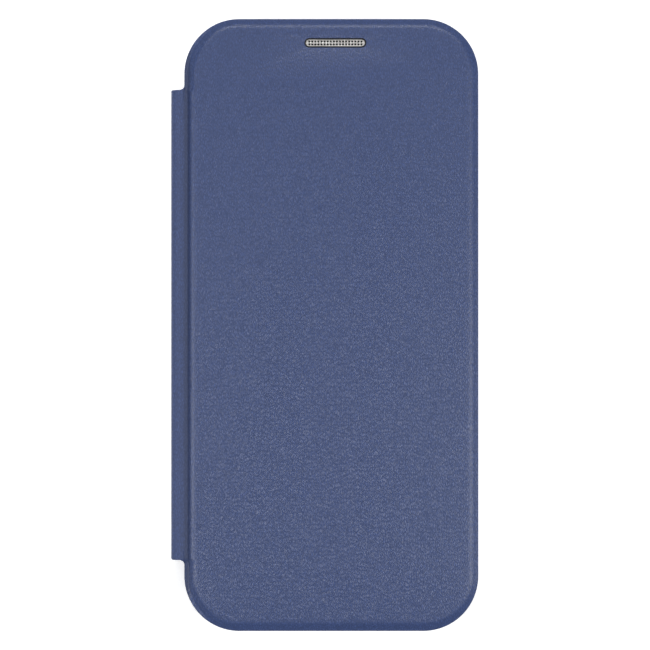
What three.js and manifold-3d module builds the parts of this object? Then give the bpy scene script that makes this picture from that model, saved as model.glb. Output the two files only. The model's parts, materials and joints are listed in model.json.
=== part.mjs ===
// Folding case for a flat phone, lying on its back and closed. A front cover, a spine and a back
// panel are covered in one leather, which rolls over the two long edges of the spine. A moulded
// tray bonded to the back panel grips the phone. Hidden magnets in the cover's free edge hold it
// shut on two steel keepers in the tray wall. A slotted steel grille lets the earpiece be heard.
//
// Millimetres. +X runs from the spine to the free edge, +Y towards the earpiece end, +Z up
// through the cover. The origin is the middle of the footprint, on the surface the case lies on.
import * as THREE from 'three';
import { mergeVertices } from 'three/addons/utils/BufferGeometryUtils.js';
import Module from 'manifold-3d';

const wasm = await Module();
wasm.setup();

// ---- Driving dimensions -------------------------------------------------------------------

// The phone that the tray is made for.
const PHONE_WIDTH = 72.9;
const PHONE_LENGTH = 161.1;
const PHONE_THICKNESS = 8.2;
const PHONE_CORNER = 12.65;

// The moulded tray.
const PHONE_PLAY = 0.1;
const TRAY_WALL = 1.75;
const TRAY_FLOOR = 0.8;
const TRAY_EDGE = 0.6;
const LIP_HEIGHT = 0.7;
const LIP_REACH = 0.8;
const TRAY_PAD = 0.3;

// Sheets of the cover, spine and back.
const SKIN = 0.8;
const LINING = 0.5;
const BACK_BOARD = 0.8;
const SPINE_BOARD = 1.0;
const COVER_BOARD = 1.0;
const GLUE = 0.3;
const GLUE_INSET = 2.0;
const SHEET_PLAY = 0.12;

// The cover's outline about the tray, and its height above the tray's lip.
const COVER_OVERHANG = 0.35;
const SPINE_EXTENSION = 2.2;
const COVER_GAP = 0.3;

// The spine, and the leather rolls along its two edges.
const ROLL_RADIUS = 2.5;
const ROLL_SETBACK = 0.9;
const SPINE_SHORTFALL = 19.05;
const SPINE_END_RADIUS = 0.6;
const SPINE_BOARD_INSET = 0.5;
const SPINE_LINING_INSET = 0.2;
const FOLD_GAP = 0.3;

// The camera window, measured from the tray cavity's corner.
const CAMERA_WIDTH = 30;
const CAMERA_LENGTH = 38;
const CAMERA_CORNER = 9;
const CAMERA_MARGIN = 6.5;
const BEZEL_WIDTH = 1.4;
const BEZEL_RECESS = 0.15;

// Ports in the tray's lower end and the microphone hole in its upper end.
const PORT_WIDTH = 14;
const PORT_HEIGHT = 6.4;
const SPEAKER_WIDTH = 15;
const SPEAKER_HEIGHT = 2.4;
const SPEAKER_OFFSET = 20;
const MICROPHONE_BORE = 2.2;
const MICROPHONE_OFFSETS = [-13, -18];
const UPPER_MICROPHONE_OFFSET = -12;

// Side buttons in the tray's free-edge wall, in a row below the upper keeper.
const BUTTON_HEIGHT = 3.4;
const BUTTON_PLAY = 0.3;
const BUTTON_DEPTH = 1.6;
const BUTTON_EDGE = 0.3;
const VOLUME_LENGTH = 22;
const POWER_LENGTH = 11;
const KEEPER_TO_VOLUME = 1.9;
const VOLUME_TO_POWER = 8.5;

// Magnets in the cover and steel keepers in the tray wall.
const MAGNET_LENGTH = 12;
const MAGNET_WIDTH = 3;
const MAGNET_THICKNESS = 0.9;
const MAGNET_CORNER = 0.4;
const MAGNET_EDGE = 1.6;
const KEEPER_HEIGHT = 3.2;
const KEEPER_THICKNESS = 0.7;
const KEEPER_PLAY = 0.1;
const KEEPER_BELOW_LIP = 0.6;

// The earpiece grille in the cover.
const GRILLE_FROM_TOP = 6.6;
const GRILLE_RIM_LENGTH = 16.65;
const GRILLE_RIM_WIDTH = 2.5;
const GRILLE_RIM_WALL = 0.3;
const GRILLE_PLAY = 0.05;
const GRILLE_RIM_RECESS = 0.05;
const GRILLE_RECESS = 0.25;
const GRILLE_THICKNESS = 0.4;
const GRILLE_COLUMNS = 18;
const GRILLE_ROWS = 2;
const GRILLE_HOLE = 0.56;
const GRILLE_PITCH_X = 0.83;
const GRILLE_PITCH_Y = 0.78;

// The card pocket inside the cover.
const POCKET_LENGTH = 92;
const POCKET_MARGIN = 5.75;
const POCKET_DROP = 12;
const POCKET_CORNER = 4;
const POCKET_SEAM = 2.5;
const POCKET_PANEL = 0.4;
const POCKET_ROOM = 0.4;

// Half the number of steps along each quarter of a large and a small round corner.
const CORNER_STEPS = 5;
const SMALL_STEPS = 2;
// A round end keeps a sliver of flat at its tip, and a cutter runs past what it cuts.
const TIP_FLAT = 0.1;
const THROUGH = 2;

// ---- Derived levels, bottom to top ----------------------------------------------------------

const BACK_BOARD_TOP = SKIN + BACK_BOARD;
const TRAY_BOTTOM = BACK_BOARD_TOP + GLUE;
const FLOOR_TOP = TRAY_BOTTOM + TRAY_FLOOR;
const PHONE_SEAT = FLOOR_TOP + TRAY_PAD;
const PHONE_MIDDLE = PHONE_SEAT + PHONE_THICKNESS / 2;
const LIP_BOTTOM = PHONE_SEAT + PHONE_THICKNESS + PHONE_PLAY;
const TRAY_TOP = LIP_BOTTOM + LIP_HEIGHT;
const COVER_BOTTOM = TRAY_TOP + COVER_GAP;
const LINING_TOP = COVER_BOTTOM + LINING;
const COVER_BOARD_TOP = LINING_TOP + COVER_BOARD;
const COVER_TOP = COVER_BOARD_TOP + SKIN;

// ---- Derived outlines -----------------------------------------------------------------------

const CAVITY_WIDTH = PHONE_WIDTH + 2 * PHONE_PLAY;
const CAVITY_LENGTH = PHONE_LENGTH + 2 * PHONE_PLAY;
const CAVITY_CORNER = PHONE_CORNER + PHONE_PLAY;
const TRAY_WIDTH = CAVITY_WIDTH + 2 * TRAY_WALL;
const TRAY_LENGTH = CAVITY_LENGTH + 2 * TRAY_WALL;
const TRAY_CORNER = CAVITY_CORNER + TRAY_WALL;
const COVER_WIDTH = TRAY_WIDTH + 2 * COVER_OVERHANG + SPINE_EXTENSION;
const COVER_LENGTH = TRAY_LENGTH + 2 * COVER_OVERHANG;
const COVER_CORNER = TRAY_CORNER + COVER_OVERHANG;
const SPINE_LENGTH = COVER_LENGTH - 2 * SPINE_SHORTFALL;
const SPINE_PROUD = ROLL_RADIUS + ROLL_SETBACK;

const RIGHT_EDGE = (COVER_WIDTH + SPINE_PROUD) / 2;
const LEFT_EDGE = RIGHT_EDGE - COVER_WIDTH;
const HINGE_X = LEFT_EDGE - ROLL_SETBACK;
const TRAY_X = RIGHT_EDGE - COVER_OVERHANG - TRAY_WIDTH / 2;
const COVER_X = RIGHT_EDGE - COVER_WIDTH / 2;
const MAGNET_Y = TRAY_LENGTH / 2 - TRAY_CORNER - MAGNET_LENGTH / 2 - MAGNET_EDGE;
const VOLUME_Y = MAGNET_Y - (MAGNET_LENGTH + VOLUME_LENGTH) / 2 - KEEPER_TO_VOLUME;
const POWER_Y = VOLUME_Y - (VOLUME_LENGTH + POWER_LENGTH) / 2 - VOLUME_TO_POWER;

// ---- Materials ------------------------------------------------------------------------------

const finish = (color, roughness, metalness = 0) =>
  new THREE.MeshStandardMaterial({ color, roughness, metalness });

const LEATHER = { color: 0x535e7e, roughness: 0.5 };
const MOULDED = { color: 0x35405e, roughness: 0.55 };
const CLOTH = { color: 0x59627c, roughness: 0.9 };
const BOARD = { color: 0x8f8b82, roughness: 0.9 };
const ADHESIVE = { color: 0xd8d2c0, roughness: 0.7 };
const STEEL = { color: 0xc9cbce, roughness: 0.3, metalness: 1 };
const DARK_METAL = { color: 0x1c1e24, roughness: 0.4, metalness: 0.8 };

// ---- Shape helpers --------------------------------------------------------------------------

// A closed outline: a rectangle centred on (x, y) with round corners.
function roundedRectangle(width, length, corner, x = 0, y = 0, Kind = THREE.Shape) {
  const w = width / 2;
  const l = length / 2;
  const path = new Kind();
  path.absarc(x + w - corner, y + l - corner, corner, 0, Math.PI / 2);
  path.absarc(x - w + corner, y + l - corner, corner, Math.PI / 2, Math.PI);
  path.absarc(x - w + corner, y - l + corner, corner, Math.PI, 1.5 * Math.PI);
  path.absarc(x + w - corner, y - l + corner, corner, 1.5 * Math.PI, 2 * Math.PI);
  path.closePath();
  return path;
}

const roundedHole = (width, length, corner, x, y) =>
  roundedRectangle(width, length, corner, x, y, THREE.Path);

// The corner radius that makes a slot or cap of this width round-ended.
const roundEnd = (width) => (width - TIP_FLAT) / 2;

const slotHole = (length, width, x, y) => roundedHole(length, width, roundEnd(width), x, y);

// A sheet of even thickness standing on z = 0.
function slab(outline, thickness, steps = CORNER_STEPS) {
  return new THREE.ExtrudeGeometry(outline, {
    depth: thickness, bevelEnabled: false, curveSegments: steps,
  });
}

// A slab whose outer edges are rounded over by `edge`, keeping its outline and thickness.
function softSlab(outline, thickness, edge, steps = CORNER_STEPS) {
  const geometry = new THREE.ExtrudeGeometry(outline, {
    depth: thickness - 2 * edge,
    bevelThickness: edge,
    bevelSize: edge,
    bevelOffset: -edge,
    bevelSegments: 3,
    curveSegments: steps,
  });
  return geometry.translate(0, 0, edge);
}

const X = new THREE.Vector3(1, 0, 0);
const Y = new THREE.Vector3(0, 1, 0);
const Z = new THREE.Vector3(0, 0, 1);

// Turns a slab drawn in (Y, Z) so that its thickness runs along +X.
const alongX = (geometry) => geometry.applyMatrix4(new THREE.Matrix4().makeBasis(Y, Z, X));

// Turns a slab drawn in (X, Z) so that its thickness is centred along Y.
function alongY(geometry, length) {
  const turn = new THREE.Matrix4().makeBasis(X, Z, Y.clone().negate());
  return geometry.applyMatrix4(turn).translate(0, length / 2, 0);
}

function toSolid(geometry) {
  const bare = geometry.clone();
  bare.deleteAttribute('normal');
  bare.deleteAttribute('uv');
  const merged = mergeVertices(bare, 1e-5);
  return new wasm.Manifold(new wasm.Mesh({
    numProp: 3,
    vertProperties: new Float32Array(merged.attributes.position.array),
    triVerts: new Uint32Array(merged.index.array),
  }));
}

function toGeometry(solid) {
  const { vertProperties, triVerts } = solid.getMesh();
  const geometry = new THREE.BufferGeometry();
  geometry.setAttribute('position', new THREE.BufferAttribute(vertProperties, 3));
  geometry.setIndex(new THREE.BufferAttribute(triVerts, 1));
  geometry.computeVertexNormals();
  return geometry;
}

// Cuts every cutter out of a body.
function cut(body, cutters) {
  const solid = cutters.reduce((rest, cutter) => rest.subtract(toSolid(cutter)), toSolid(body));
  return toGeometry(solid);
}

function part(name, geometry, look, z = 0) {
  const mesh = new THREE.Mesh(geometry, finish(look.color, look.roughness, look.metalness));
  mesh.name = name;
  mesh.position.z = z;
  return mesh;
}

// ---- Back panel and tray, drawn about the tray's centre --------------------------------------

const BACK_WIDTH = TRAY_WIDTH + COVER_OVERHANG + SPINE_EXTENSION;
const BACK_X = (TRAY_WIDTH - BACK_WIDTH) / 2;
const CAMERA_X = CAVITY_WIDTH / 2 - CAMERA_MARGIN - CAMERA_WIDTH / 2;
const CAMERA_Y = CAVITY_LENGTH / 2 - CAMERA_MARGIN - CAMERA_LENGTH / 2;

// The camera window grown outwards by `extra` on every side.
const cameraHole = (extra) => roundedHole(
  CAMERA_WIDTH + 2 * extra, CAMERA_LENGTH + 2 * extra, CAMERA_CORNER + extra, CAMERA_X, CAMERA_Y);

function backOutline(inset) {
  return roundedRectangle(
    BACK_WIDTH - 2 * inset, TRAY_LENGTH - 2 * inset, TRAY_CORNER - inset, BACK_X);
}

function backSkin() {
  const outline = backOutline(0);
  outline.holes.push(cameraHole(BEZEL_WIDTH + SHEET_PLAY));
  const boardPocket = slab(backOutline(SKIN), THROUGH).translate(0, 0, SKIN);
  return part('back_skin', cut(slab(outline, BACK_BOARD_TOP), [boardPocket]), LEATHER);
}

function backBoard() {
  const outline = backOutline(SKIN + SHEET_PLAY);
  outline.holes.push(cameraHole(BEZEL_WIDTH + SHEET_PLAY));
  return part('back_board', slab(outline, BACK_BOARD), BOARD, SKIN);
}

function trayAdhesive() {
  const outline = roundedRectangle(
    TRAY_WIDTH - 2 * GLUE_INSET, TRAY_LENGTH - 2 * GLUE_INSET, TRAY_CORNER - GLUE_INSET);
  outline.holes.push(cameraHole(0));
  return part('tray_adhesive', slab(outline, GLUE), ADHESIVE, BACK_BOARD_TOP);
}

function cameraBezel() {
  const outline = roundedRectangle(
    CAMERA_WIDTH + 2 * BEZEL_WIDTH, CAMERA_LENGTH + 2 * BEZEL_WIDTH,
    CAMERA_CORNER + BEZEL_WIDTH, CAMERA_X, CAMERA_Y);
  outline.holes.push(cameraHole(0));
  const height = BACK_BOARD_TOP - BEZEL_RECESS;
  return part('camera_bezel', slab(outline, height), MOULDED, BEZEL_RECESS);
}

// A cutter through an end wall of the tray: side is -1 for the lower end, +1 for the upper.
function endCutter(width, height, x, side) {
  const depth = TRAY_WALL + 2 * THROUGH;
  const outline = roundedRectangle(width, height, roundEnd(height), x, PHONE_MIDDLE);
  const middle = side * (CAVITY_LENGTH + TRAY_WALL) / 2;
  return alongY(slab(outline, depth, SMALL_STEPS), depth).translate(0, middle, 0);
}

// The outline of a side button in (Y, Z), grown by `extra` on every side.
const buttonOutline = (length, extra) => roundedRectangle(
  length + 2 * extra, BUTTON_HEIGHT + 2 * extra, roundEnd(BUTTON_HEIGHT) + extra);

function buttonCutter(length, y) {
  const depth = TRAY_WALL + 2 * THROUGH;
  const window = alongX(slab(buttonOutline(length, BUTTON_PLAY), depth, SMALL_STEPS));
  return window.translate(CAVITY_WIDTH / 2 - THROUGH, y, PHONE_MIDDLE);
}

// A pocket in the wall's inner face for a keeper, open to the cavity.
function keeperCutter(y) {
  const play = 2 * KEEPER_PLAY;
  const box = new THREE.BoxGeometry(
    KEEPER_THICKNESS + KEEPER_PLAY + THROUGH, MAGNET_LENGTH + play, KEEPER_HEIGHT + play);
  const x = CAVITY_WIDTH / 2 + KEEPER_THICKNESS + KEEPER_PLAY - box.parameters.width / 2;
  return box.translate(x, y, LIP_BOTTOM - KEEPER_BELOW_LIP - KEEPER_HEIGHT / 2);
}

function phoneTray() {
  const height = TRAY_TOP - TRAY_BOTTOM;
  const outline = roundedRectangle(TRAY_WIDTH, TRAY_LENGTH, TRAY_CORNER);
  const body = softSlab(outline, height, TRAY_EDGE).translate(0, 0, TRAY_BOTTOM);
  const cavity = roundedRectangle(CAVITY_WIDTH, CAVITY_LENGTH, CAVITY_CORNER);
  const mouth = roundedRectangle(
    CAVITY_WIDTH - 2 * LIP_REACH, CAVITY_LENGTH - 2 * LIP_REACH, CAVITY_CORNER - LIP_REACH);
  const window = roundedRectangle(
    CAMERA_WIDTH, CAMERA_LENGTH, CAMERA_CORNER, CAMERA_X, CAMERA_Y);
  const cutters = [
    slab(cavity, LIP_BOTTOM - FLOOR_TOP).translate(0, 0, FLOOR_TOP),
    slab(mouth, LIP_HEIGHT + THROUGH + 1).translate(0, 0, LIP_BOTTOM - 1),
    slab(window, TRAY_FLOOR + 2 * THROUGH).translate(0, 0, TRAY_BOTTOM - THROUGH),
    endCutter(PORT_WIDTH, PORT_HEIGHT, 0, -1),
    endCutter(SPEAKER_WIDTH, SPEAKER_HEIGHT, SPEAKER_OFFSET, -1),
    ...MICROPHONE_OFFSETS.map((x) => endCutter(MICROPHONE_BORE, MICROPHONE_BORE, x, -1)),
    endCutter(MICROPHONE_BORE, MICROPHONE_BORE, UPPER_MICROPHONE_OFFSET, 1),
    buttonCutter(VOLUME_LENGTH, VOLUME_Y),
    buttonCutter(POWER_LENGTH, POWER_Y),
    keeperCutter(MAGNET_Y),
    keeperCutter(-MAGNET_Y),
  ];
  return part('phone_tray', cut(body, cutters), MOULDED);
}

function trayPad() {
  const outline = roundedRectangle(
    CAVITY_WIDTH - 2 * SHEET_PLAY, CAVITY_LENGTH - 2 * SHEET_PLAY, CAVITY_CORNER - SHEET_PLAY);
  outline.holes.push(cameraHole(SHEET_PLAY));
  return part('tray_lining', slab(outline, TRAY_PAD), CLOTH, FLOOR_TOP);
}

function trayKeeper(name, y) {
  const mesh = part(
    name, new THREE.BoxGeometry(KEEPER_THICKNESS, MAGNET_LENGTH, KEEPER_HEIGHT), STEEL);
  const z = LIP_BOTTOM - KEEPER_BELOW_LIP - KEEPER_HEIGHT / 2;
  mesh.position.set(CAVITY_WIDTH / 2 + KEEPER_THICKNESS / 2, y, z);
  return mesh;
}

// A button cap standing out of the free-edge wall as far as the cover overhangs it.
function sideButton(name, length, y) {
  const cap = alongX(softSlab(buttonOutline(length, 0), BUTTON_DEPTH, BUTTON_EDGE, SMALL_STEPS));
  const mesh = part(name, cap, MOULDED);
  const x = TRAY_WIDTH / 2 + COVER_OVERHANG - BUTTON_DEPTH;
  mesh.position.set(x, y, PHONE_MIDDLE);
  return mesh;
}

function trayGroup() {
  const group = new THREE.Group();
  group.position.x = TRAY_X;
  group.add(
    backSkin(), backBoard(), trayAdhesive(), cameraBezel(), phoneTray(), trayPad(),
    trayKeeper('tray_keeper_upper', MAGNET_Y), trayKeeper('tray_keeper_lower', -MAGNET_Y),
    sideButton('volume_rocker', VOLUME_LENGTH, VOLUME_Y),
    sideButton('power_button', POWER_LENGTH, POWER_Y));
  return group;
}

// ---- Spine and leather rolls, drawn about the hinge line -------------------------------------

const SPINE_HEIGHT = COVER_TOP - 2 * ROLL_RADIUS;

// One upright sheet of the spine: its outer face stands `outside` in from the spine's own.
function spineSheet(name, outside, thickness, inset, look) {
  const outline = roundedRectangle(
    SPINE_LENGTH - 2 * inset, SPINE_HEIGHT - 2 * inset, SPINE_END_RADIUS);
  const mesh = part(name, alongX(slab(outline, thickness, SMALL_STEPS)), look);
  mesh.position.set(outside - ROLL_RADIUS, 0, COVER_TOP / 2);
  return mesh;
}

// The leather that rolls over one long edge of the spine: a quarter of a tube, then a short flat.
// `side` is 1 for the roll at the cover and -1 for the roll at the back.
function foldLeather(name, axisZ, side) {
  const flat = ROLL_SETBACK - FOLD_GAP;
  const inner = ROLL_RADIUS - SKIN;
  const turned = Math.PI - side * Math.PI / 2;
  const profile = new THREE.Shape();
  profile.absarc(0, 0, ROLL_RADIUS, Math.PI, turned, side > 0);
  profile.lineTo(flat, side * ROLL_RADIUS);
  profile.lineTo(flat, side * inner);
  profile.absarc(0, 0, inner, turned, Math.PI, side < 0);
  profile.closePath();
  return part(name, alongY(slab(profile, SPINE_LENGTH), SPINE_LENGTH), LEATHER, axisZ);
}

function spineGroup() {
  const group = new THREE.Group();
  group.position.x = HINGE_X;
  group.add(
    spineSheet('spine_skin', 0, SKIN, 0, LEATHER),
    spineSheet('spine_board', SKIN, SPINE_BOARD, SPINE_BOARD_INSET, BOARD),
    spineSheet('spine_lining', SKIN + SPINE_BOARD, LINING, SPINE_LINING_INSET, CLOTH),
    foldLeather('back_fold_leather', ROLL_RADIUS, -1),
    foldLeather('cover_fold_leather', COVER_TOP - ROLL_RADIUS, 1));
  return group;
}

// ---- Cover, drawn about its own centre --------------------------------------------------------

const GRILLE_X = TRAY_X - COVER_X;
const GRILLE_Y = COVER_LENGTH / 2 - GRILLE_FROM_TOP;
const MAGNET_X = COVER_WIDTH / 2 - SKIN - MAGNET_EDGE - MAGNET_WIDTH / 2;

function coverOutline(inset) {
  return roundedRectangle(
    COVER_WIDTH - 2 * inset, COVER_LENGTH - 2 * inset, COVER_CORNER - inset);
}

// The earpiece slot, grown by `extra` on every side.
const earpieceHole = (extra) => slotHole(
  GRILLE_RIM_LENGTH + 2 * extra, GRILLE_RIM_WIDTH + 2 * extra, GRILLE_X, GRILLE_Y);

function coverSkin() {
  const outline = coverOutline(0);
  outline.holes.push(earpieceHole(GRILLE_PLAY));
  const height = COVER_TOP - COVER_BOTTOM;
  const pocket = slab(coverOutline(SKIN), height - SKIN + THROUGH).translate(0, 0, -THROUGH);
  return part('cover_skin', cut(slab(outline, height), [pocket]), LEATHER, COVER_BOTTOM);
}

function coverBoard() {
  const outline = coverOutline(SKIN + SHEET_PLAY);
  outline.holes.push(earpieceHole(GRILLE_PLAY));
  for (const side of [-1, 1]) {
    outline.holes.push(roundedHole(
      MAGNET_WIDTH + 2 * SHEET_PLAY, MAGNET_LENGTH + 2 * SHEET_PLAY, MAGNET_CORNER,
      MAGNET_X, side * MAGNET_Y));
  }
  return part('cover_board', slab(outline, COVER_BOARD), BOARD, LINING_TOP);
}

function coverLining() {
  const outline = coverOutline(SKIN + SHEET_PLAY);
  outline.holes.push(earpieceHole(GRILLE_PLAY));
  return part('cover_lining', slab(outline, LINING), CLOTH, COVER_BOTTOM);
}

function coverMagnet(name, y) {
  const outline = roundedRectangle(MAGNET_WIDTH, MAGNET_LENGTH, MAGNET_CORNER);
  const mesh = part(name, slab(outline, MAGNET_THICKNESS, SMALL_STEPS), STEEL);
  mesh.position.set(MAGNET_X, y, LINING_TOP);
  return mesh;
}

function grilleRim() {
  const outline = roundedRectangle(
    GRILLE_RIM_LENGTH, GRILLE_RIM_WIDTH, roundEnd(GRILLE_RIM_WIDTH));
  const inner = 2 * GRILLE_RIM_WALL;
  outline.holes.push(slotHole(GRILLE_RIM_LENGTH - inner, GRILLE_RIM_WIDTH - inner, 0, 0));
  const height = COVER_TOP - COVER_BOTTOM - GRILLE_RIM_RECESS;
  const mesh = part('grille_rim', slab(outline, height, SMALL_STEPS), DARK_METAL);
  mesh.position.set(GRILLE_X, GRILLE_Y, COVER_BOTTOM);
  return mesh;
}

function earpieceGrille() {
  const inner = 2 * (GRILLE_RIM_WALL + GRILLE_PLAY);
  const width = GRILLE_RIM_WIDTH - inner;
  const outline = roundedRectangle(GRILLE_RIM_LENGTH - inner, width, roundEnd(width));
  for (let column = 0; column < GRILLE_COLUMNS; column += 1) {
    for (let row = 0; row < GRILLE_ROWS; row += 1) {
      const x = (column - (GRILLE_COLUMNS - 1) / 2) * GRILLE_PITCH_X;
      const y = (row - (GRILLE_ROWS - 1) / 2) * GRILLE_PITCH_Y;
      outline.holes.push(roundedHole(GRILLE_HOLE, GRILLE_HOLE, GRILLE_HOLE / 4, x, y));
    }
  }
  const mesh = part('earpiece_grille', slab(outline, GRILLE_THICKNESS, 1), STEEL);
  mesh.position.set(GRILLE_X, GRILLE_Y, COVER_TOP - GRILLE_RECESS - GRILLE_THICKNESS);
  return mesh;
}

// A flat pocket under the lining, sewn on three sides and open towards the spine.
function cardPocket() {
  const width = CAVITY_WIDTH - 2 * LIP_REACH - 2 * POCKET_MARGIN;
  const outline = roundedRectangle(width, POCKET_LENGTH, POCKET_CORNER);
  const panel = slab(outline, POCKET_PANEL + POCKET_ROOM);
  const room = new THREE.BoxGeometry(width, POCKET_LENGTH - 2 * POCKET_SEAM, 2 * POCKET_ROOM);
  room.translate(-POCKET_SEAM, 0, POCKET_PANEL + POCKET_ROOM);
  const mesh = part('card_pocket', cut(panel, [room]), CLOTH);
  mesh.position.set(GRILLE_X, -POCKET_DROP, COVER_BOTTOM - POCKET_PANEL - POCKET_ROOM);
  return mesh;
}

function coverGroup() {
  const group = new THREE.Group();
  group.position.x = COVER_X;
  group.add(
    coverSkin(), coverBoard(), coverLining(), cardPocket(), grilleRim(), earpieceGrille(),
    coverMagnet('cover_magnet_upper', MAGNET_Y), coverMagnet('cover_magnet_lower', -MAGNET_Y));
  return group;
}

const phoneCase = new THREE.Group();
phoneCase.add(trayGroup(), spineGroup(), coverGroup());
phoneCase.updateMatrixWorld(true);

export default phoneCase;
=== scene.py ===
import json
import math

import bmesh
import bpy
from mathutils import Matrix, Vector


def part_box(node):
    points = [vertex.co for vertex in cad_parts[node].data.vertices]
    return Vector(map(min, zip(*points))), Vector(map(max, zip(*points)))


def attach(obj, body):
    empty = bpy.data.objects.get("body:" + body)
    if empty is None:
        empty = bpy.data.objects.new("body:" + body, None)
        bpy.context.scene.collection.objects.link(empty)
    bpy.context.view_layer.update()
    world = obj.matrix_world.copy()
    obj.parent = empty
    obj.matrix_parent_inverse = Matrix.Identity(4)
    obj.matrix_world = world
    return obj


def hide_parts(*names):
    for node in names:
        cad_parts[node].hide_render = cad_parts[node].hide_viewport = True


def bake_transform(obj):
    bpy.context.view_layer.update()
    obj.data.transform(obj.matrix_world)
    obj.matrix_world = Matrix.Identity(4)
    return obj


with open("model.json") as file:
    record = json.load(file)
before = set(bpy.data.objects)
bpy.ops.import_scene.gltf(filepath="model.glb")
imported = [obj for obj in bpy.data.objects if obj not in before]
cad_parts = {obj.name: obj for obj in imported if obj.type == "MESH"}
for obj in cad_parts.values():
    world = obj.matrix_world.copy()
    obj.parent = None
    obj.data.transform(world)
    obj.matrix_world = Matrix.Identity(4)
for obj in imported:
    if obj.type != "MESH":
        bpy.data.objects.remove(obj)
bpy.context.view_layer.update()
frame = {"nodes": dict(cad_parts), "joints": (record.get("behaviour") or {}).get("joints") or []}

MM = 0.001

# ---- Places and sizes taken from the frame -----------------------------------------------------

JOINTS = {joint["name"]: joint for joint in frame["joints"]}
COVER_LOW, COVER_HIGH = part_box("cover_skin")
BACK_LOW, BACK_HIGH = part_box("back_skin")
SPINE_LOW, SPINE_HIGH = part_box("spine_skin")
POCKET_LOW, POCKET_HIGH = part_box("card_pocket")
RIM_LOW, RIM_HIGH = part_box("grille_rim")
BEZEL_LOW, BEZEL_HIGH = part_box("camera_bezel")

AXIS_X = JOINTS["cover_fold"]["pos_m"][0]
COVER_AXIS_Z = JOINTS["cover_fold"]["pos_m"][2]
BACK_AXIS_Z = JOINTS["spine_fold"]["pos_m"][2]
ROLL = AXIS_X - SPINE_LOW.x
QUARTER_ROLL = ROLL * math.pi / 2
SPINE_MIDDLE_Z = (COVER_AXIS_Z + BACK_AXIS_Z) / 2
SPINE_END_Y = SPINE_HIGH.y - 0.2 * MM

# ---- Leather work ------------------------------------------------------------------------------

LEATHER_THICKNESS = 0.36 * MM
LINING_THICKNESS = 0.22 * MM
COVER_CORNER = 14.85 * MM
BACK_CORNER = 14.5 * MM
TAB_FILLET = 1.35 * MM
RING_STEPS = (0.45,) + (0.2,) * 10 + (0.25, 0.35, 0.5)
FLANGE_RINGS = 12
LIP_ROUND = 0.08 * MM
BEND_ROUND = 0.8 * MM
BOARD_SLOPE = 1.4
BOARD_LIP = 0.14 * MM
BOARD_HEIGHT = 0.9 * MM
LINING_INSET = 0.95 * MM
TAB_SPARE = 6 * MM
COVER_EDGE_ROUND = 0.4 * MM
BACK_EDGE_ROUND = 0.35 * MM
BEZEL_CORNER = 10.5 * MM
BEZEL_PLAY = 0.1 * MM
SLOT_PLAY = 0.02 * MM
CORNER_STEPS = 28
FILLET_STEPS = 6
ROLL_CUTS = 12
VALLEY_CUTS = 23
VALLEY_CUT_GAP = 0.2 * MM

# ---- Pocket, pad and small pieces --------------------------------------------------------------

POCKET_CORNER = 4.0 * MM
POCKET_SHEET = 0.3 * MM
POCKET_RINGS = (0.9, 0.9, 0.8)
POCKET_PROUD = 0.03 * MM
POCKET_HEM = 1.7 * MM
POCKET_SLOPE = 0.9 * MM
NOTCH_RADIUS = 9.0 * MM
STITCH_PITCH = 2.6 * MM
STITCH_INSET = 1.3 * MM
STITCH_DEPTH = 0.05 * MM
STITCH_HALF_SIZE = (0.9 * MM, 0.16 * MM, 0.12 * MM)
PAD_CORNER = 12 * MM
PAD_OUTLINE_CORNER = 11.97 * MM
PAD_WINDOW_CORNER = 9.8 * MM
PAD_WINDOW_INSET = 0.6 * MM
PAD_RINGS = (0.15, 0.25, 0.4, 0.8)
PAD_DROP = 0.14 * MM
PAD_SLOPE = 0.8 * MM
PAD_THICKNESS = 0.24 * MM
MESH_GAP = 0.02 * MM
MESH_THICKNESS = 0.12 * MM
FLOOR_HALF_SIZE = 4.0
FLOOR_DROP = 0.2 * MM
MERGE = 1e-6
CUT = 1e-7
CREASE_ANGLE = 30
FLAT_ANGLE = 0.5


# ---- Camera, light and floor -------------------------------------------------------------------

FRAME_WIDTH = 175.65 * MM
LENS = 120
SENSOR = 36
OUTLINE_Z = COVER_HIGH.z - 0.9 * MM
WORLD_STRENGTH = 0.19


def make_camera():
    data = bpy.data.cameras.new("camera")
    data.lens = LENS
    data.sensor_width = SENSOR
    data.clip_start = 0.01
    data.clip_end = 20
    camera = bpy.data.objects.new("camera", data)
    camera.location = (0, 0, OUTLINE_Z + FRAME_WIDTH / 2 * LENS / (SENSOR / 2))
    bpy.context.scene.collection.objects.link(camera)
    bpy.context.scene.camera = camera


def make_softbox(name, place, size, watts):
    """A soft light that faces the case."""
    data = bpy.data.lights.new(name, "AREA")
    data.shape = "RECTANGLE"
    data.size, data.size_y = size
    data.energy = watts
    light = bpy.data.objects.new(name, data)
    light.location = place
    light.rotation_euler = (-Vector(place)).to_track_quat("-Z", "Y").to_euler()
    bpy.context.scene.collection.objects.link(light)


def make_lights():
    make_softbox("left_softbox", (-1.3, -0.3, 2.0), (0.45, 1.4), 19)
    make_softbox("right_softbox", (1.3, -0.3, 2.0), (0.35, 1.4), 21)
    make_softbox("top_softbox", (0.0, 1.4, 2.0), (1.6, 0.4), 20)
    world = bpy.data.worlds.new("studio")
    bpy.context.scene.world = world
    world.use_nodes = True
    background = world.node_tree.nodes["Background"]
    background.inputs["Color"].default_value = (1, 1, 1, 1)
    background.inputs["Strength"].default_value = WORLD_STRENGTH
    bpy.context.scene.view_settings.view_transform = "Standard"


# ---- Shader expressions ------------------------------------------------------------------------


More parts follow.
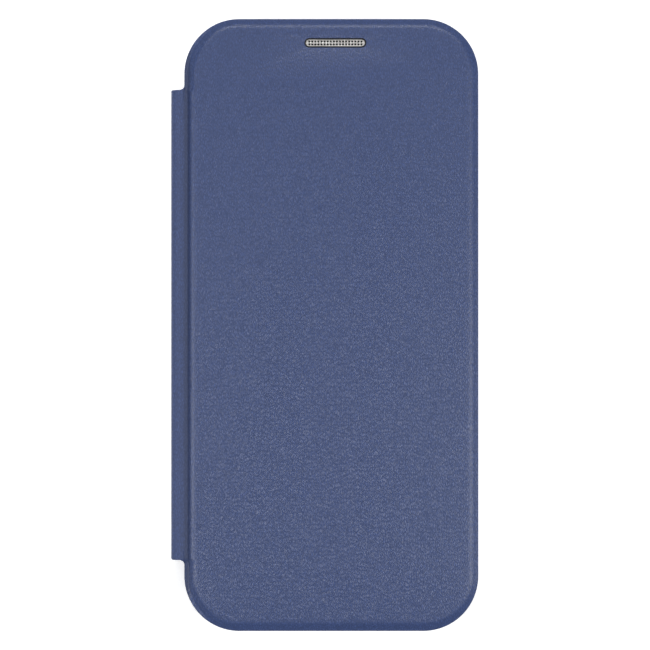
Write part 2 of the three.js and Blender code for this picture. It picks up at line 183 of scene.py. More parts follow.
class Value:
    """A number that varies over a surface: a socket on which Python's operators add Math nodes."""

    def __init__(self, finish, socket):
        self.finish = finish
        self.socket = socket

    def math(self, operation, other=None, flip=False):
        pair = (other, self) if flip else (self, other)
        inputs = {i: v for i, v in enumerate(pair) if v is not None}
        return self.finish.node("ShaderNodeMath", {"operation": operation}, inputs)

    def __add__(self, other):
        return self.math("ADD", other)

    __radd__ = __add__

    def __sub__(self, other):
        return self.math("SUBTRACT", other)

    def __rsub__(self, other):
        return self.math("SUBTRACT", other, flip=True)

    def __mul__(self, other):
        return self.math("MULTIPLY", other)

    __rmul__ = __mul__

    def at_most(self, level):
        return self.math("MINIMUM", level)


class Finish:
    """A material built from nodes around one Principled shader."""

    def __init__(self, name, **constants):
        self.material = bpy.data.materials.new(name)
        self.material.use_nodes = True
        self.tree = self.material.node_tree
        self.shader = self.tree.nodes["Principled BSDF"]
        for socket, value in constants.items():
            self.shader.inputs[socket.replace("_", " ")].default_value = value

    def node(self, kind, settings=None, inputs=None, output=0):
        made = self.tree.nodes.new(kind)
        for setting, value in (settings or {}).items():
            if setting == "stops":
                set_stops(made.color_ramp, value)
            else:
                setattr(made, setting, value)
        for socket, value in (inputs or {}).items():
            self.put(made.inputs[socket], value)
        return Value(self, made.outputs[output])

    def put(self, socket, value):
        if isinstance(value, Value):
            self.tree.links.new(value.socket, socket)
        else:
            socket.default_value = value

    def feed(self, **links):
        for socket, value in links.items():
            self.put(self.shader.inputs[socket.replace("_", " ")], value)

    def place(self, scale):
        """Object coordinates, stretched by a factor along each axis."""
        coordinates = self.node("ShaderNodeTexCoord", output="Object")
        return self.node("ShaderNodeMapping", {}, {"Vector": coordinates, "Scale": scale})

    def across(self):
        """Millimetres across the case, from the Object coordinates."""
        coordinates = self.node("ShaderNodeTexCoord", output="Object")
        return self.node("ShaderNodeSeparateXYZ", {}, {"Vector": coordinates}) * 1000.0

    def step(self, value, start, end):
        """Zero before start, one after end, smooth between."""
        settings = {"interpolation_type": "SMOOTHSTEP"}
        if start < end:
            bounds = {"From Min": start, "From Max": end, "To Min": 0.0, "To Max": 1.0}
        else:
            bounds = {"From Min": end, "From Max": start, "To Min": 1.0, "To Max": 0.0}
        return self.node("ShaderNodeMapRange", settings, {"Value": value, **bounds})

    def noise(self, vector, scale, detail=3.0, roughness=0.5, distortion=0.0):
        inputs = {
            "Vector": vector, "Scale": scale, "Detail": detail,
            "Roughness": roughness, "Distortion": distortion,
        }
        return self.node("ShaderNodeTexNoise", {}, inputs)

    def cells(self, vector, scale, feature="DISTANCE_TO_EDGE"):
        inputs = {"Vector": vector, "Scale": scale}
        return self.node("ShaderNodeTexVoronoi", {"feature": feature}, inputs)

    def ramp(self, factor, stops):
        return self.node("ShaderNodeValToRGB", {"stops": stops}, {"Fac": factor})

    def blend(self, factor, first, second):
        settings = {"data_type": "RGBA"}
        return self.node("ShaderNodeMix", settings, {0: factor, 6: first, 7: second}, output=2)

    def bump(self, height, distance, strength=1.0):
        inputs = {"Height": height, "Distance": distance, "Strength": strength}
        return self.node("ShaderNodeBump", {}, inputs)


def set_stops(ramp, stops):
    for i, (position, colour) in enumerate(stops):
        stop = ramp.elements[i] if i < 2 else ramp.elements.new(position)
        stop.position = position
        stop.color = colour if len(colour) == 4 else (*colour, 1)


def tint(colour, factor):
    return tuple(c * factor for c in colour) + (1,)


# ---- Finishes ----------------------------------------------------------------------------------

LEATHER_BLUE = (0.043, 0.071, 0.190)
TRAY_BLUE = (0.040, 0.056, 0.118)
CLOTH_BLUE = (0.105, 0.128, 0.205)
CREASE_SHADE_LEFT = (-38.6, -37.7)  # millimetres across the case, where the painted shade in the crease starts and is full
CREASE_SHADE_RIGHT = (-36.0, -37.0)
FOLD_SIDE = (-36.7, -37.4)
FLOOR_GLOW = 0.55


def leather_finish():
    """Fine grain drawn out along the case, with painted shade darkening the crease beside the
    spine.
    """
    finish = Finish("blue_leather", Specular_IOR_Level=0.5)
    along = finish.place((1.0, 0.42, 1.0))
    pores = finish.cells(along, 2300)
    creases = finish.cells(finish.place((1.0, 0.35, 1.0)), 1900)
    fine = finish.noise(along, 5200, detail=2.0)
    grain = pores.at_most(0.45) * 1.6 + fine * 0.55 + creases.at_most(0.3) * 0.3
    tone = pores.at_most(0.35) + creases.at_most(0.35) * 0.6 + fine * 0.4 + 0.24
    dye = finish.ramp(tone, [(0.3, tint(LEATHER_BLUE, 0.55)), (1.0, tint(LEATHER_BLUE, 1.25))])
    across = finish.across()
    # Painted shade: the base colour darkens in the crease beside the spine, where the raised
    # panel's step shades it.
    crease_shade = finish.step(across, *CREASE_SHADE_LEFT) * finish.step(across, *CREASE_SHADE_RIGHT)
    folded = finish.step(across, *FOLD_SIDE)
    colour = finish.blend(crease_shade * 0.5, dye, tint(LEATHER_BLUE, 0.25))
    finish.feed(
        Base_Color=colour,
        Roughness=0.37 - grain * 0.05 + folded * 0.22,
        Normal=finish.bump(grain, 0.00006, 0.75),
    )
    return finish.material


def tray_finish():
    """Moulded plastic with a fine spark texture."""
    finish = Finish("moulded_navy", Roughness=0.5)
    place = finish.place((1, 1, 1))
    sparks = finish.noise(place, 4200, detail=3.0, roughness=0.6)
    broad = finish.noise(place, 60, detail=2.0)
    colour = finish.ramp(broad * 0.7 + sparks * 0.3, [
        (0.3, tint(TRAY_BLUE, 0.9)), (0.7, tint(TRAY_BLUE, 1.12))])
    finish.feed(
        Base_Color=colour,
        Roughness=0.42 + sparks * 0.2,
        Normal=finish.bump(sparks, 0.00003, 0.6),
    )
    return finish.material


def cloth_finish():
    """Brushed microfibre: a short pile lying in soft patches."""
    finish = Finish("lining_cloth", Roughness=0.95)
    finish.shader.inputs["Sheen Weight"].default_value = 0.35
    finish.shader.inputs["Sheen Roughness"].default_value = 0.5
    place = finish.place((1, 1, 1))
    pile = finish.noise(finish.place((1.0, 0.55, 1.0)), 3600, detail=4.0, roughness=0.65)
    patches = finish.noise(place, 140, detail=3.0, distortion=0.6) * 0.6 + 0.2
    colour = finish.ramp(pile * 0.55 + patches * 0.45, [
        (0.3, tint(CLOTH_BLUE, 0.78)), (0.72, tint(CLOTH_BLUE, 1.25))])
    finish.feed(
        Base_Color=colour,
        Roughness=0.86 + pile * 0.12,
        Normal=finish.bump(pile, 0.0001, 0.9),
    )
    return finish.material


def steel_finish(name, colour, scratch_scale):
    """Satin metal, brushed along the case's width."""
    finish = Finish(name, Metallic=1.0)
    brush = finish.noise(finish.place((0.06, 1.0, 1.0)), scratch_scale, detail=3.0)
    finish.feed(
        Base_Color=finish.ramp(brush, [(0.3, tint(colour, 0.86)), (0.7, tint(colour, 1.08))]),
        Roughness=0.26 + brush * 0.16,
        Normal=finish.bump(brush, 0.000004, 0.4),
    )
    return finish.material


def dark_metal_finish():
    finish = Finish("dark_metal", Specular_IOR_Level=0.3)
    speck = finish.noise(finish.place((1, 1, 1)), 5000, detail=2.0)
    finish.feed(
        Base_Color=finish.ramp(speck, [(0.3, (0.003, 0.003, 0.004)), (0.7, (0.008, 0.008, 0.011))]),
        Roughness=0.34 + speck * 0.15,
    )
    return finish.material


def board_finish():
    """Grey pressed board with paper fibres."""
    finish = Finish("grey_board", Roughness=0.95)
    fibres = finish.noise(finish.place((1.0, 0.3, 1.0)), 2500, detail=5.0, roughness=0.7)
    finish.feed(
        Base_Color=finish.ramp(fibres, [(0.3, (0.22, 0.205, 0.175)), (0.7, (0.34, 0.315, 0.27))]),
        Normal=finish.bump(fibres, 0.00006, 0.7),
    )
    return finish.material


def tape_finish():
    """Pale bonding tape with trapped bubbles."""
    finish = Finish("bonding_tape", Roughness=0.4)
    bubbles = finish.cells(finish.place((1, 1, 1)), 700, feature="F1")
    finish.feed(
        Base_Color=finish.ramp(bubbles, [(0.1, (0.72, 0.69, 0.60)), (0.6, (0.60, 0.56, 0.46))]),
        Roughness=0.3 + bubbles * 0.25,
    )
    return finish.material


def floor_finish():
    finish = Finish("studio_floor", Roughness=0.9, Emission_Strength=FLOOR_GLOW)
    paper = finish.noise(finish.place((1, 1, 1)), 400, detail=3.0)
    tone = finish.ramp(paper, [(0.2, (0.93,) * 3), (0.8, (0.95,) * 3)])
    finish.feed(Base_Color=tone, Emission_Color=tone)
    return finish.material


def thread_finish():
    """Twisted thread, a little paler than the lining."""
    finish = Finish("pocket_thread", Roughness=0.7)
    twist = finish.noise(finish.place((0.5, 1.0, 1.0)), 9000, detail=2.0)
    finish.feed(
        Base_Color=finish.ramp(twist, [(0.3, (0.10, 0.13, 0.24)), (0.7, (0.17, 0.21, 0.34))]),
        Normal=finish.bump(twist, 0.00003, 0.6),
    )
    return finish.material


def mesh_cloth_finish():
    """Fine black weave."""
    finish = Finish("mesh_cloth", Roughness=0.9)
    weave = finish.cells(finish.place((1, 1, 1)), 9000, feature="F1")
    finish.feed(
        Base_Color=finish.ramp(weave, [(0.1, (0.004,) * 3), (0.7, (0.013, 0.013, 0.015))]),
        Normal=finish.bump(weave, 0.00003, 0.5),
    )
    return finish.material


LEATHER = leather_finish()
TRAY = tray_finish()
CLOTH = cloth_finish()
GRILLE_STEEL = steel_finish("grille_steel", (0.72, 0.71, 0.69), 2600)
PLATED_STEEL = steel_finish("plated_steel", (0.56, 0.57, 0.60), 1800)
DARK_METAL = dark_metal_finish()
BOARD = board_finish()
TAPE = tape_finish()
THREAD = thread_finish()
MESH_CLOTH = mesh_cloth_finish()


# ---- Mesh helpers ------------------------------------------------------------------------------


def arc(x, y, radius, start, end, steps):
    """Points on a circle from one angle to another, in degrees."""
    angles = [math.radians(start + (end - start) * i / steps) for i in range(steps + 1)]
    return [(x + radius * math.cos(a), y + radius * math.sin(a)) for a in angles]


def rounded_rectangle(low, high, corner, steps=CORNER_STEPS):
    centres = (
        (high[0] - corner, high[1] - corner, 0), (low[0] + corner, high[1] - corner, 90),
        (low[0] + corner, low[1] + corner, 180), (high[0] - corner, low[1] + corner, 270),
    )
    points = []
    for x, y, start in centres:
        points += arc(x, y, corner, start, start + 90, steps)
    return points


def panel_with_tab(low, high, corner, reach, end_y, fillet):
    """A rounded panel whose left edge carries a tab, with concave fillets at the tab's roots."""
    left, top = low[0], high[1]
    upper = arc(high[0] - corner, top - corner, corner, 0, 90, CORNER_STEPS)
    upper += arc(left + corner, top - corner, corner, 90, 180, CORNER_STEPS)
    if fillet:
        upper += arc(left - fillet, end_y + fillet, fillet, 0, -90, FILLET_STEPS)
    else:
        upper += [(left, end_y)]
    upper += [(left - reach, end_y)]
    lower = [(x, -y) for x, y in reversed(upper)]
    return upper + lower


def add_loop(bm, points):
    """A closed ring of edges at z = 0, leaving out points that repeat the one before."""
    kept = [p for i, p in enumerate(points) if math.dist(p, points[i - 1]) > CUT]
    verts = [bm.verts.new((x, y, 0)) for x, y in kept]
    return [bm.edges.new((verts[i - 1], verts[i])) for i in range(len(verts))]


def flat_face(loops):
    bm = bmesh.new()
    edges = []
    for points in loops:
        edges += add_loop(bm, points)
    bmesh.ops.triangle_fill(bm, use_beauty=True, edges=edges, normal=(0, 0, 1))
    return bm


def boundary(bm):
    return [e for e in bm.edges if e.is_boundary]


def shade(bm, sharp=50):
    """Smooth shading, with hard edges where the surface turns sharply."""
    for face in bm.faces:
        face.smooth = True
    for edge in bm.edges:
        if len(edge.link_faces) == 2:
            edge.smooth = edge.calc_face_angle(0) < math.radians(sharp)


def finish_mesh(bm, name, material, sharp=50):
    """Makes an object from a bmesh, which is then freed."""
    shade(bm, sharp)
    mesh = bpy.data.meshes.new(name)
    bm.to_mesh(mesh)
    bm.free()
    mesh.materials.append(material)
    obj = bpy.data.objects.new(name, mesh)
    bpy.context.scene.collection.objects.link(obj)
    return obj


def thicken(obj, thickness):
    """Gives a sheet its thickness, inward of its faces, for good."""
    modifier = obj.modifiers.new("thickness", "SOLIDIFY")
    modifier.thickness = thickness
    modifier.offset = -1.0
    graph = bpy.context.evaluated_depsgraph_get()
    solid = bpy.data.meshes.new_from_object(obj.evaluated_get(graph), depsgraph=graph)
    obj.modifiers.clear()
    bm = bmesh.new()
    bm.from_mesh(solid)
    shade(bm)
    bm.to_mesh(solid)
    bm.free()
    obj.data = solid
    return obj


def inside_panel(x, y, low, high, corner):
    """Distance in from a rounded panel's edge, negative outside it."""
    dx = abs(x - (low.x + high.x) / 2) - (high.x - low.x) / 2 + corner
    dy = abs(y) - high.y + corner
    if dx > 0 and dy > 0:
        return corner - math.hypot(dx, dy)
    return corner - max(dx, dy)


def smooth_step(t):
    t = min(1.0, max(0.0, t))
    return t * t * (3 - 2 * t)


# ---- The leather's shape -----------------------------------------------------------------------


class Edge:
    """A pressed edge: where the slope starts and ends in from the edge, its tangent, its easing."""

    def __init__(self, top, foot, steep, ease):
        self.top, self.foot, self.steep, self.ease = top * MM, foot * MM, steep, ease


def soft_ramp(distance):
    """Zero, then rising one for one, with a rounded bend between."""
    return (distance + math.hypot(distance, BEND_ROUND)) / 2


class Shell:
    """How one leather shell lies: flat over its board, rolled over the spine's edge, then upright.

    Points are first laid out flat: x and y in the panel's plane, h the height above the plane that
    the roll's outside touches. Left of the axis the plane is wound round the roll and then runs
    along the spine. The value up is 1 for the cover and -1 for the back, the same shape turned
    over.
    """

    spine_depth = 2.05 * MM
    roll_depth = 1.0 * MM
    roll_centre = Vector((0.8 * MM, 0.2 * MM))
    roll_radius = 1.9 * MM
    crest_ease = 1.3
    valley = 0.75 * MM
    tab_shift = 0.6 * MM

    def __init__(self, low, high, corner, axis_z, up, board, edge, spine_side):
        self.low, self.high, self.corner = low, high, corner
        self.axis_z, self.up = axis_z, up
        self.board, self.edge, self.spine_side = board, edge, spine_side

    def depth(self, x):
        """How thick the shell is, from its leather face to its lining."""
        on_panel = smooth_step((x - AXIS_X - 0.3 * MM) / (1.2 * MM))
        wound = (AXIS_X - x) / QUARTER_ROLL
        on_spine = smooth_step((wound - 0.7) / 0.5)
        return self.roll_depth + on_panel * (self.board - self.roll_depth) + on_spine * (
            self.spine_depth - self.roll_depth)

    def pressed(self, inside, edge):
        """Fall from the raised panel: a crisp break, a straight slope and a flatter rim."""
        fall = soft_ramp(edge.top - inside) - edge.ease * soft_ramp(edge.foot - inside)
        return -edge.steep * fall

    def face(self, x, y):
        """Height of the leather face: a raised panel, a low rim, and the roll beside the spine."""
        inside = inside_panel(x, y, self.low, self.high, self.corner)
        left = smooth_step((self.low.x + 10 * MM - x) / (7 * MM))
        along = smooth_step((SPINE_END_Y + 1.2 * MM - abs(y)) / (1.8 * MM))
        on_tab = max(along, smooth_step((self.low.x - x) / (0.8 * MM)))
        open_edge = self.pressed(inside, self.edge)
        level = max(inside, self.valley)
        spine_edge = self.pressed(level + self.tab_shift * along, self.spine_side)
        panel = open_edge + left * (spine_edge - open_edge)
        across = (self.low.x + self.valley - x) / (self.low.x + self.valley - AXIS_X)
        fade = min(1.0, max(0.0, across)) ** self.crest_ease
        return panel + fade * on_tab * (self.roll(x) - panel)

    def roll(self, x):
        """Height of a plump roll, whose own centre lies outward of the fold's axis."""
        angle = min(math.pi / 2, max(0.0, (AXIS_X - x) / ROLL))
        ray = Vector((math.sin(angle), math.cos(angle)))
        along = self.roll_centre.dot(ray)
        aside = self.roll_centre.length_squared - along ** 2
        return along + math.sqrt(self.roll_radius ** 2 - aside) - ROLL

    def bend(self, x, y, h):
        """Winds a laid-out point round the roll and down the spine."""
        if x >= AXIS_X:
            return Vector((x, y, self.axis_z + self.up * (ROLL + h)))
        wound = AXIS_X - x
        if wound <= QUARTER_ROLL:
            angle = wound / ROLL
            reach = ROLL + h
            return Vector((
                AXIS_X - reach * math.sin(angle), y,
                self.axis_z + self.up * reach * math.cos(angle)))
        return Vector((AXIS_X - ROLL - h, y, self.axis_z - self.up * (wound - QUARTER_ROLL)))

    @property
    def tab_reach(self):
        """Flat length of leather from the panel's edge to the middle of the spine."""
        upright = abs(self.axis_z - SPINE_MIDDLE_Z)
        return self.low.x - AXIS_X + QUARTER_ROLL + upright

    def cut_size(self):
        """Width and length of the leather before it is turned over the board's edges."""
        turned = self.board + sum(RING_STEPS[:FLANGE_RINGS]) * MM
        width = self.high.x - self.low.x + self.tab_reach + turned
        return width, self.high.y - self.low.y + 2 * turned


def cut_columns(bm):
    """Cuts rows of faces along the case, close where the leather bends."""
    roll = [AXIS_X - QUARTER_ROLL * i / ROLL_CUTS for i in range(ROLL_CUTS + 1)]
    valley = [AXIS_X + VALLEY_CUT_GAP * i for i in range(1, VALLEY_CUTS + 1)]
    for x in roll + valley:
        everything = bm.verts[:] + bm.edges[:] + bm.faces[:]
        bmesh.ops.bisect_plane(
            bm, geom=everything, dist=CUT, plane_co=(x, 0, 0), plane_no=(1, 0, 0))


def cut_at_spine_middle(bm, shell):
    """Cuts the tab off where the two shells meet, halfway along the spine."""
    everything = bm.verts[:] + bm.edges[:] + bm.faces[:]
    bmesh.ops.bisect_plane(
        bm, geom=everything, dist=CUT, plane_co=(shell.low.x - shell.tab_reach, 0, 0),
        plane_no=(-1, 0, 0), clear_outer=True)


def add_rings(bm, steps):
    """Insets the sheet ring by ring from its edge. Returns the rings' faces and the faces left."""
    rings = []
    inner = bm.faces[:]
    for step in steps:
        made = bmesh.ops.inset_region(
            bm, faces=inner, thickness=step * MM, use_even_offset=True, use_boundary=True)
        rings.append(made["faces"])
        bounded = set(made["faces"])
        inner = [f for f in inner if f.is_valid and f not in bounded]
    return rings, inner


def ringed_sheet(outline, holes, steps):
    """A flat sheet with rings along its edge. Returns it, the rings, its rim and its holes."""
    bm = flat_face([outline])
    rings, inner = add_rings(bm, steps)
    rim = boundary(bm)
    bmesh.ops.delete(bm, geom=inner, context="FACES_ONLY")
    stray = [e for e in bm.edges if not e.link_faces]
    bmesh.ops.delete(bm, geom=stray, context="EDGES")
    outer = set(rim)
    seam = [e for e in boundary(bm) if e not in outer]
    lips = [edge for hole in holes for edge in add_loop(bm, hole)]
    bmesh.ops.triangle_fill(bm, use_beauty=True, edges=seam + lips, normal=(0, 0, 1))
    return bm, rings, rim, lips


def wrapped_shell(name, shell, hole, edge_round):
    """Leather turned over a board: a top, walls, and a flange on the inside."""
    reach = shell.tab_reach + TAB_SPARE
    outline = panel_with_tab(
        shell.low, shell.high, shell.corner, reach, SPINE_END_Y, TAB_FILLET)
    bm, rings, rim, lip = ringed_sheet(outline, [hole], RING_STEPS)
    turned = [f for ring in rings[:FLANGE_RINGS] for f in ring]
    flange = bmesh.ops.duplicate(bm, geom=turned)["geom"]
    flange_faces = [g for g in flange if isinstance(g, bmesh.types.BMFace)]
    flange_verts = [g for g in flange if isinstance(g, bmesh.types.BMVert)]
    bmesh.ops.reverse_faces(bm, faces=flange_faces)
    bmesh.ops.translate(bm, verts=flange_verts, vec=(0, 0, -shell.board))
    walls = bmesh.ops.extrude_edge_only(bm, edges=rim)["geom"]
    lowered = [g for g in walls if isinstance(g, bmesh.types.BMVert)]
    bmesh.ops.translate(bm, verts=lowered, vec=(0, 0, -shell.board))
    bmesh.ops.remove_doubles(bm, verts=bm.verts[:], dist=MERGE)
    down = bmesh.ops.extrude_edge_only(bm, edges=lip)["geom"]
    sunk = [g for g in down if isinstance(g, bmesh.types.BMVert)]
    bmesh.ops.translate(bm, verts=sunk, vec=(0, 0, -shell.board * 0.6))
    bmesh.ops.bevel(
        bm, geom=rim, offset=edge_round, offset_type="OFFSET", segments=4, profile=0.5,
        affect="EDGES", material=-1, clamp_overlap=True)
    bmesh.ops.bevel(
        bm, geom=lip, offset=LIP_ROUND, offset_type="OFFSET", segments=3, profile=0.5,
        affect="EDGES", material=-1, clamp_overlap=True)
    cut_columns(bm)
    cut_at_spine_middle(bm, shell)
    shape_shell(bm, shell)
    bmesh.ops.dissolve_degenerate(bm, dist=MERGE, edges=bm.edges[:])
    bmesh.ops.recalc_face_normals(bm, faces=bm.faces[:])
    obj = finish_mesh(bm, name, LEATHER)
    return thicken(obj, LEATHER_THICKNESS)


def shape_shell(bm, shell):
    """Raises, sinks and winds every laid-out point to where it lies on the closed case."""
    for v in bm.verts:
        x, y, z = v.co
        share = min(1.0, -z / shell.board)
        h = shell.face(x, y) * (1 - share) - share * shell.depth(x)
        v.co = shell.bend(x, y, h)


FRONT = Shell(
    COVER_LOW, COVER_HIGH, COVER_CORNER, COVER_AXIS_Z, 1,
    board=COVER_HIGH.z - COVER_LOW.z - 0.24 * MM,
    edge=Edge(1.8, 0.5, 0.75, 0.6), spine_side=Edge(2.5, 1.15, 1.15, 1.0))
REAR = Shell(
    BACK_LOW, BACK_HIGH, BACK_CORNER, BACK_AXIS_Z, -1,
    board=BACK_HIGH.z - BACK_LOW.z + 0.05 * MM,
    edge=Edge(2.0, 0.6, 0.25, 1.0), spine_side=Edge(2.4, 0.9, 0.25, 1.0))


def blend_over_roll(piece, shell, spine_first):
    """Bakes the piece's placement into its mesh."""
    panel_end = Vector((AXIS_X, 0, shell.axis_z + shell.up * ROLL))
    spine_end = Vector((AXIS_X - ROLL, 0, shell.axis_z))
    if spine_first:
        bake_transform(piece)
    else:
        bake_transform(piece)


def hole_loop(low, high, play, corner=None, steps=8):
    """An opening round a box, with some play. Its ends are half round unless given a corner."""
    low = (low.x - play, low.y - play)
    high = (high.x + play, high.y + play)
    narrow = min(high[0] - low[0], high[1] - low[1]) / 2 - 0.02 * MM
    return rounded_rectangle(low, high, corner or narrow, steps)


def make_front_leather():
    slot = hole_loop(RIM_LOW, RIM_HIGH, SLOT_PLAY)
    piece = wrapped_shell("front_leather", FRONT, slot, COVER_EDGE_ROUND)
    blend_over_roll(piece, FRONT, spine_first=True)
    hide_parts("cover_skin", "cover_fold_leather", "spine_skin")
    FRONT.cut_size()


def make_rear_leather():
    window = hole_loop(BEZEL_LOW, BEZEL_HIGH, BEZEL_PLAY, corner=BEZEL_CORNER, steps=12)
    piece = wrapped_shell("rear_leather", REAR, window, BACK_EDGE_ROUND)
    blend_over_roll(piece, REAR, spine_first=False)
    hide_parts("back_skin", "back_fold_leather")
    REAR.cut_size()


def make_pressed_board():
    """The cover's stiffening board, its upper edge pressed down so that the leather follows it."""
    low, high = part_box("cover_board")
    outline = rounded_rectangle(low, high, COVER_CORNER - (COVER_HIGH.x - high.x))
    holes = [hole_loop(RIM_LOW, RIM_HIGH, 0.05 * MM)]
    for magnet in ("cover_magnet_upper", "cover_magnet_lower"):
        holes.append(hole_loop(*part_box(magnet), 0.05 * MM, corner=0.3 * MM, steps=2))
    bm, _, rim, _ = ringed_sheet(outline, holes, (BOARD_SLOPE,))
    outer = {v.co.to_tuple(6) for edge in rim for v in edge.verts}
    made = bmesh.ops.extrude_face_region(bm, geom=bm.faces[:], use_keep_orig=True)["geom"]
    raised = [g for g in made if isinstance(g, bmesh.types.BMVert)]
    for v in raised:
        v.co.z = BOARD_LIP if v.co.to_tuple(6) in outer else BOARD_HEIGHT
    bmesh.ops.translate(bm, verts=bm.verts[:], vec=(0, 0, high.z - BOARD_HEIGHT))
    bmesh.ops.recalc_face_normals(bm, faces=bm.faces[:])
    piece = finish_mesh(bm, "pressed_board", BOARD, sharp=25)
    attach(piece, "cover")
    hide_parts("cover_board")


def lining_strip(name, shell, outline, holes, gap):
    """A sheet of lining laid inside a shell, from the panel over the roll to the spine's middle."""
    bm = flat_face([outline, *holes])
    cut_columns(bm)
    cut_at_spine_middle(bm, shell)
    for v in bm.verts:
        v.co = shell.bend(v.co.x, v.co.y, -shell.depth(v.co.x) - gap)
    bmesh.ops.recalc_face_normals(bm, faces=bm.faces[:])
    faces_in = sum(f.normal.z * shell.up * f.calc_area() for f in bm.faces) < 0
    if faces_in:
        bmesh.ops.reverse_faces(bm, faces=bm.faces[:])
    return thicken(finish_mesh(bm, name, CLOTH), LINING_THICKNESS)


def make_front_lining():
    inset = Vector((LINING_INSET, LINING_INSET, 0))
    outline = panel_with_tab(
        COVER_LOW + inset, COVER_HIGH - inset, COVER_CORNER - LINING_INSET,
        FRONT.tab_reach + TAB_SPARE, SPINE_END_Y - LINING_INSET, TAB_FILLET)
    piece = lining_strip(
        "front_lining", FRONT, outline, [hole_loop(RIM_LOW, RIM_HIGH, 0.04 * MM)], 0.02 * MM)
    blend_over_roll(piece, FRONT, spine_first=True)
    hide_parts("cover_lining", "spine_lining")
    flat = (
        COVER_HIGH.x - COVER_LOW.x + FRONT.tab_reach - LINING_INSET,
        COVER_HIGH.y - COVER_LOW.y - 2 * LINING_INSET)


def make_hinge_lining():
    end_y = SPINE_END_Y - LINING_INSET
    left = BACK_LOW.x - REAR.tab_reach - TAB_SPARE
    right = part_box("tray_adhesive")[0].x - 0.1 * MM
    outline = [(right, end_y), (left, end_y), (left, -end_y), (right, -end_y)]
    piece = lining_strip("hinge_lining", REAR, outline, [], 0.01 * MM)
    blend_over_roll(piece, REAR, spine_first=False)
    flat = (right - BACK_LOW.x + REAR.tab_reach, 2 * end_y)


def from_edge(x, y, low, high):
    """Distance in from a box's upper, lower and right sides, the sewn ones."""
    return min(high.x - x, high.y - y, y - low.y)


def make_card_pocket():
    """A cloth pocket sewn to the lining on three sides, with a thumb notch in its mouth."""
    low, high = POCKET_LOW, POCKET_HIGH
    middle_y = (low.y + high.y) / 2
    outline = arc(high.x - POCKET_CORNER, high.y - POCKET_CORNER, POCKET_CORNER, 0, 90, 8)
    outline += [(low.x, high.y)]
    outline += arc(low.x, middle_y, NOTCH_RADIUS, 90, -90, 10)
    outline += [(low.x, low.y)]
    outline += arc(high.x - POCKET_CORNER, low.y + POCKET_CORNER, POCKET_CORNER, 270, 360, 8)
    bm = ringed_sheet(outline, [], POCKET_RINGS)[0]
    bulge = high.z - low.z - 2 * POCKET_SHEET
    for v in bm.verts:
        slack = smooth_step((from_edge(v.co.x, v.co.y, low, high) - POCKET_HEM) / POCKET_SLOPE)
        v.co.z = high.z - POCKET_PROUD - POCKET_SHEET - slack * bulge
    bmesh.ops.reverse_faces(bm, faces=bm.faces[:])
    piece = thicken(finish_mesh(bm, "pocket_sheet", CLOTH), POCKET_SHEET)
    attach(piece, "cover")
    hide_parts("card_pocket")


def make_stitches():
    """Thread showing on the pocket's three sewn sides."""
    low, high = POCKET_LOW, POCKET_HIGH
    line = STITCH_INSET
    spots = []
    count_x = round((high.x - low.x - 2 * line) / STITCH_PITCH)
    count_y = round((high.y - low.y - 2 * line - 2 * POCKET_CORNER) / STITCH_PITCH)
    for i in range(count_x):
        x = low.x + line + (i + 0.5) * STITCH_PITCH
        if x < high.x - POCKET_CORNER:
            spots += [(x, high.y - line, 0), (x, low.y + line, 0)]
    for i in range(count_y):
        y = low.y + line + POCKET_CORNER + (i + 0.5) * STITCH_PITCH
        spots.append((high.x - line, y, math.pi / 2))
    bm = bmesh.new()
    for x, y, turn in spots:
        place = Matrix.Translation((x, y, high.z - STITCH_DEPTH - POCKET_SHEET))
        shape = Matrix.Diagonal((*STITCH_HALF_SIZE, 1))
        bmesh.ops.create_uvsphere(
            bm, u_segments=10, v_segments=6, radius=1,
            matrix=place @ Matrix.Rotation(turn, 4, "Z") @ shape)
    piece = finish_mesh(bm, "pocket_stitches", THREAD)
    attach(piece, "cover")


def make_dust_mesh():
    """Black acoustic cloth behind the perforated plate."""
    low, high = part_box("earpiece_grille")
    bm = flat_face([hole_loop(low, high, -MESH_GAP)])
    bmesh.ops.translate(bm, verts=bm.verts[:], vec=(0, 0, low.z - MESH_GAP))
    piece = thicken(finish_mesh(bm, "dust_mesh", MESH_CLOTH), MESH_THICKNESS)
    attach(piece, "cover")


def refined(name, node, material, body, rounding):
    """A copy of a CAD piece with its merged edges rounded off."""
    bm = bmesh.new()
    bm.from_mesh(frame["nodes"][node].data)
    bmesh.ops.remove_doubles(bm, verts=bm.verts[:], dist=MERGE)
    bmesh.ops.dissolve_limit(
        bm, angle_limit=math.radians(FLAT_ANGLE), use_dissolve_boundaries=False, verts=bm.verts[:],
        edges=bm.edges[:], delimit=set())
    sharp = [
        e for e in bm.edges
        if len(e.link_faces) == 2 and e.calc_face_angle(0) > math.radians(CREASE_ANGLE)]
    bmesh.ops.bevel(
        bm, geom=sharp, offset=rounding, offset_type="OFFSET", segments=3, profile=0.5,
        affect="EDGES", material=-1, clamp_overlap=True)
    bmesh.ops.dissolve_degenerate(bm, dist=MERGE, edges=bm.edges[:])
    piece = finish_mesh(bm, name, material)
    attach(piece, body)
    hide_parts(node)


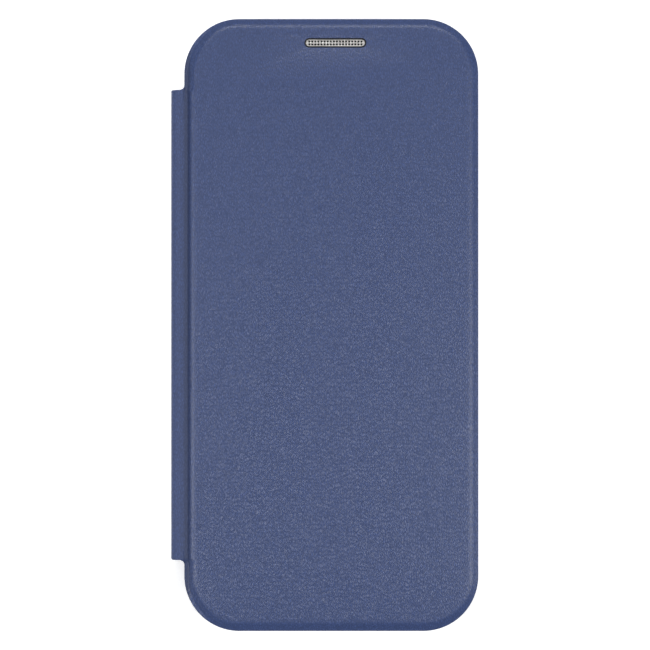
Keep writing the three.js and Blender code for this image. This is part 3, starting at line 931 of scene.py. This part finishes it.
def make_tray_pad():
    """A soft cloth pad on the tray's floor, its edge turned down and its middle flat."""
    low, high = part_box("tray_lining")
    outline = rounded_rectangle(low, high, PAD_OUTLINE_CORNER)
    window = hole_loop(
        BEZEL_LOW, BEZEL_HIGH, -PAD_WINDOW_INSET, corner=PAD_WINDOW_CORNER, steps=12)
    bm = ringed_sheet(outline, [window], PAD_RINGS)[0]
    for v in bm.verts:
        inside = inside_panel(v.co.x, v.co.y, low, high, PAD_CORNER)
        v.co.z = high.z - PAD_DROP * (1 - smooth_step(inside / PAD_SLOPE))
    piece = thicken(finish_mesh(bm, "tray_pad", CLOTH), PAD_THICKNESS)
    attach(piece, "tray")
    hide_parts("tray_lining")


def make_floor():
    bm = bmesh.new()
    bmesh.ops.create_grid(bm, x_segments=1, y_segments=1, size=FLOOR_HALF_SIZE)
    bmesh.ops.translate(bm, verts=bm.verts[:], vec=(0, 0, -FLOOR_DROP))
    finish_mesh(bm, "studio_floor", floor_finish())


# ---- The scene ---------------------------------------------------------------------------------

make_camera()
make_lights()
make_floor()
make_front_leather()
make_rear_leather()
make_pressed_board()
make_front_lining()
make_hinge_lining()
make_stitches()
make_card_pocket()
make_dust_mesh()
make_tray_pad()
refined("tray_shell", "phone_tray", TRAY, "tray", 0.2 * MM)
refined("camera_surround", "camera_bezel", TRAY, "tray", 0.2 * MM)
refined("volume_key", "volume_rocker", TRAY, "volume", 0.3 * MM)
refined("power_key", "power_button", TRAY, "power", 0.3 * MM)
refined("slot_rim", "grille_rim", DARK_METAL, "cover", 0.06 * MM)
refined("sound_plate", "earpiece_grille", GRILLE_STEEL, "cover", 0.03 * MM)

NODE_FINISHES = {
    "back_board": BOARD, "spine_board": BOARD, "tray_adhesive": TAPE,
    "tray_keeper_upper": PLATED_STEEL, "tray_keeper_lower": PLATED_STEEL,
    "cover_magnet_upper": PLATED_STEEL, "cover_magnet_lower": PLATED_STEEL,
}
for node, material in NODE_FINISHES.items():
    for slot in frame["nodes"][node].material_slots:
        slot.material = material
